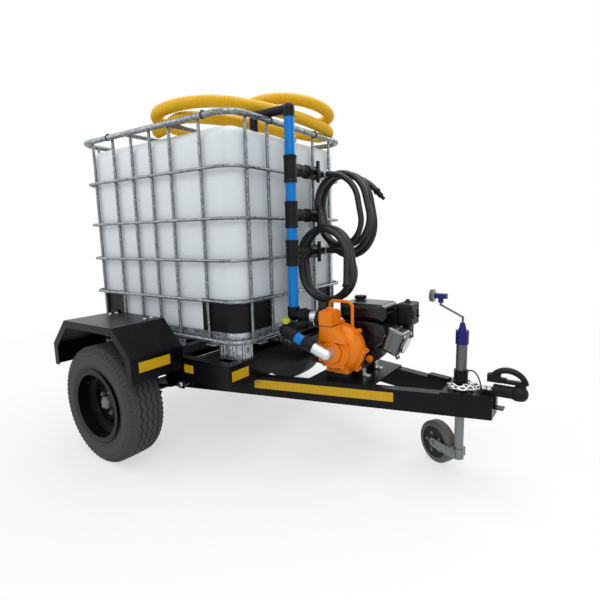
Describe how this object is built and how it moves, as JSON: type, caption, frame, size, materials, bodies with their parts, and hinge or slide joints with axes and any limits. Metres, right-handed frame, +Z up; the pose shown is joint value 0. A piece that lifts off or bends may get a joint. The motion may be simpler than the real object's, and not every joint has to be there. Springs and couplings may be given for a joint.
{
  "type": "water bowser trailer",
  "caption": "Single-axle drawbar trailer with a caged water tank, engine pump, riser with branch valves, coiled delivery hoses and a suction hose, for carrying and spraying water.",
  "frame": {"origin": "on the ground at the middle of the overall box, without the hoses and cable", "axes": "+X towards the coupling, +Y to the trailer's left, +Z up"},
  "size_m": [2.3821, 1.724, 1.8656],
  "materials": {
    "black_paint": "gloss black paint, dusty",
    "amber_plastic": "yellow reflective strip and red rear lamp",
    "tyre_rubber": "moulded tread rubber",
    "hub_grey": "machined grey hub with plated nuts",
    "bottle_white": "blow-moulded white polyethylene",
    "galvanised": "galvanised tube and sheet",
    "black_plastic": "matt black moulded plastic",
    "valve_yellow": "yellow-green moulded handle",
    "pipe_blue": "bright blue extruded pipe",
    "plated_steel": "bright plated pipe fittings and rods",
    "pump_orange": "orange powder coat on castings",
    "impeller_iron": "as-cast iron",
    "engine_dark": "black-painted finned casting",
    "engine_black": "gloss black pressed sheet",
    "fuel_black": "gloss black fuel tank",
    "muffler_steel": "bare steel silencer box",
    "cap_blue": "dark blue moulded cap and crank fittings",
    "knob_grey": "grey moulded knob",
    "grey_rubber": "solid grey rubber wheel",
    "cable_black": "black sheathed cable",
    "hose_black": "smooth black delivery hose",
    "hose_yellow": "ribbed yellow suction hose"
  },
  "bodies": {
    "chassis": {"platform_frame": "black_paint", "drawbar_right": "black_paint", "drawbar_left": "black_paint", "drawbar_plates": "black_paint", "mudguard_right": "black_paint", "mudguard_left": "black_paint", "reflectors": "amber_plastic", "leaf_spring_right": "black_paint", "leaf_spring_left": "black_paint", "tank_bottle": "bottle_white", "tank_cage": "galvanised", "tank_pallet": "galvanised", "corner_guards": "black_plastic", "tank_outlet": "black_plastic", "blue_pipes": "pipe_blue", "pipe_fittings": "black_plastic", "branch_valves": "black_plastic", "steel_elbows": "plated_steel", "pump_casing": "pump_orange", "pump_backplate": "pump_orange", "pump_bolts": "pump_orange", "pump_handle": "pump_orange", "engine_block": "engine_dark", "recoil_cover": "engine_black", "fuel_tank": "fuel_black", "air_filter": "black_plastic", "muffler": "muffler_steel", "jockey_tube": "galvanised", "jockey_cap": "cap_blue", "coupler_body": "black_paint", "safety_chain": "galvanised", "breakaway_cable": "cable_black", "suction_hose": "hose_yellow", "delivery_hose_upper": "hose_black", "delivery_hose_lower": "hose_black", "hose_nozzle": "black_plastic"},
    "axle": {"axle_beam": "black_paint"},
    "wheel_right": {"tyre_right": "tyre_rubber", "rim_right": "black_paint", "hub_right": "hub_grey"},
    "wheel_left": {"tyre_left": "tyre_rubber", "rim_left": "black_paint", "hub_left": "hub_grey"},
    "lid": {"filler_lid": "black_plastic"},
    "suction_handle": {"suction_valve_handle": "valve_yellow"},
    "lever_top": {"valve_lever_top": "black_plastic"},
    "lever_middle": {"valve_lever_middle": "black_plastic"},
    "lever_bottom": {"valve_lever_bottom": "black_plastic"},
    "rotor": {"crank_shaft": "plated_steel", "impeller": "impeller_iron"},
    "recoil_grip": {"recoil_handle": "black_plastic"},
    "throttle": {"throttle_lever": "plated_steel"},
    "fuel_lid": {"fuel_cap": "black_plastic"},
    "jockey_crank": {"crank_rod": "plated_steel", "crank_fittings": "cap_blue"},
    "jockey_knob": {"crank_knob": "knob_grey"},
    "jockey_slide": {"jockey_leg": "galvanised"},
    "jockey_yoke": {"jockey_fork": "galvanised"},
    "jockey_roller": {"jockey_wheel": "grey_rubber"},
    "coupler_lever": {"coupler_handle": "black_paint"}
  },
  "joints": [
    {"name": "axle_bounce", "type": "slide", "parent": "chassis", "child": "axle", "axis": [0, 0, 1], "range_m": [-0.02, 0.03], "stiffness_N_per_m": 200000, "springref_m": -0.02034, "deforming": ["leaf_spring_right", "leaf_spring_left"]},
    {"name": "wheel_right_spin", "type": "hinge", "parent": "axle", "child": "wheel_right", "pos_m": [-0.631, -0.755, 0.3], "axis": [0, 1, 0], "continuous": true},
    {"name": "wheel_left_spin", "type": "hinge", "parent": "axle", "child": "wheel_left", "pos_m": [-0.631, 0.755, 0.3], "axis": [0, 1, 0], "continuous": true},
    {"name": "jockey_lift", "type": "slide", "parent": "chassis", "child": "jockey_slide", "axis": [0, 0, 1], "range_m": [-0.1, 0.08]},
    {"name": "jockey_swivel", "type": "hinge", "parent": "jockey_slide", "child": "jockey_yoke", "pos_m": [0.906, 0, 0.126], "axis": [0, 0, 1], "continuous": true},
    {"name": "jockey_wheel_spin", "type": "hinge", "parent": "jockey_yoke", "child": "jockey_roller", "pos_m": [0.79168, 0.066, 0.102], "axis": [-0.5, -0.866, 0], "continuous": true},
    {"name": "crank_turn", "type": "hinge", "parent": "chassis", "child": "jockey_crank", "pos_m": [0.906, 0, 0.66], "axis": [0, 0, 1], "range_deg": [-7400, 5900]},
    {"name": "crank_knob_spin", "type": "hinge", "parent": "jockey_crank", "child": "jockey_knob", "pos_m": [0.77, 0, 0.832], "axis": [1, 0, 0], "continuous": true},
    {"name": "coupler_handle_lift", "type": "hinge", "parent": "chassis", "child": "coupler_lever", "pos_m": [1.163, 0, 0.4785], "axis": [0, 1, 0], "range_deg": [0, 60]},
    {"name": "suction_valve_turn", "type": "hinge", "parent": "chassis", "child": "suction_handle", "pos_m": [0.151, -0.303, 0.7], "axis": [0, 0, 1], "range_deg": [0, 90]},
    {"name": "lid_turn", "type": "hinge", "parent": "chassis", "child": "lid", "pos_m": [-0.569, 0, 1.65], "axis": [0, 0, 1], "range_deg": [0, 540]},
    {"name": "crankshaft_spin", "type": "hinge", "parent": "chassis", "child": "rotor", "pos_m": [0.361, 0, 0.562], "axis": [0, 1, 0], "continuous": true},
    {"name": "recoil_pull", "type": "slide", "parent": "chassis", "child": "recoil_grip", "axis": [-0.766, 0, 0.6428], "range_m": [0, 0.12], "stiffness_N_per_m": 20, "springref_m": -0.05},
    {"name": "throttle_swing", "type": "hinge", "parent": "chassis", "child": "throttle", "pos_m": [0.263, 0.02, 0.602], "axis": [1, 0, 0], "range_deg": [-25, 25]},
    {"name": "fuel_cap_turn", "type": "hinge", "parent": "chassis", "child": "fuel_lid", "pos_m": [0.363, 0.08, 0.79], "axis": [0, 0, 1], "range_deg": [0, 90]},
    {"name": "valve_bottom_turn", "type": "hinge", "parent": "chassis", "child": "lever_bottom", "pos_m": [0.186, -0.05, 1.033], "axis": [1, 0, 0], "range_deg": [0, 90]},
    {"name": "valve_middle_turn", "type": "hinge", "parent": "chassis", "child": "lever_middle", "pos_m": [0.186, -0.05, 1.217], "axis": [1, 0, 0], "range_deg": [0, 90]},
    {"name": "valve_top_turn", "type": "hinge", "parent": "chassis", "child": "lever_top", "pos_m": [0.186, -0.05, 1.431], "axis": [1, 0, 0], "range_deg": [0, 90]}
  ],
  "couplings": [
    {"joint": "crank_turn", "follows": "jockey_lift", "rad_per_m": 1256.6}
  ]
}
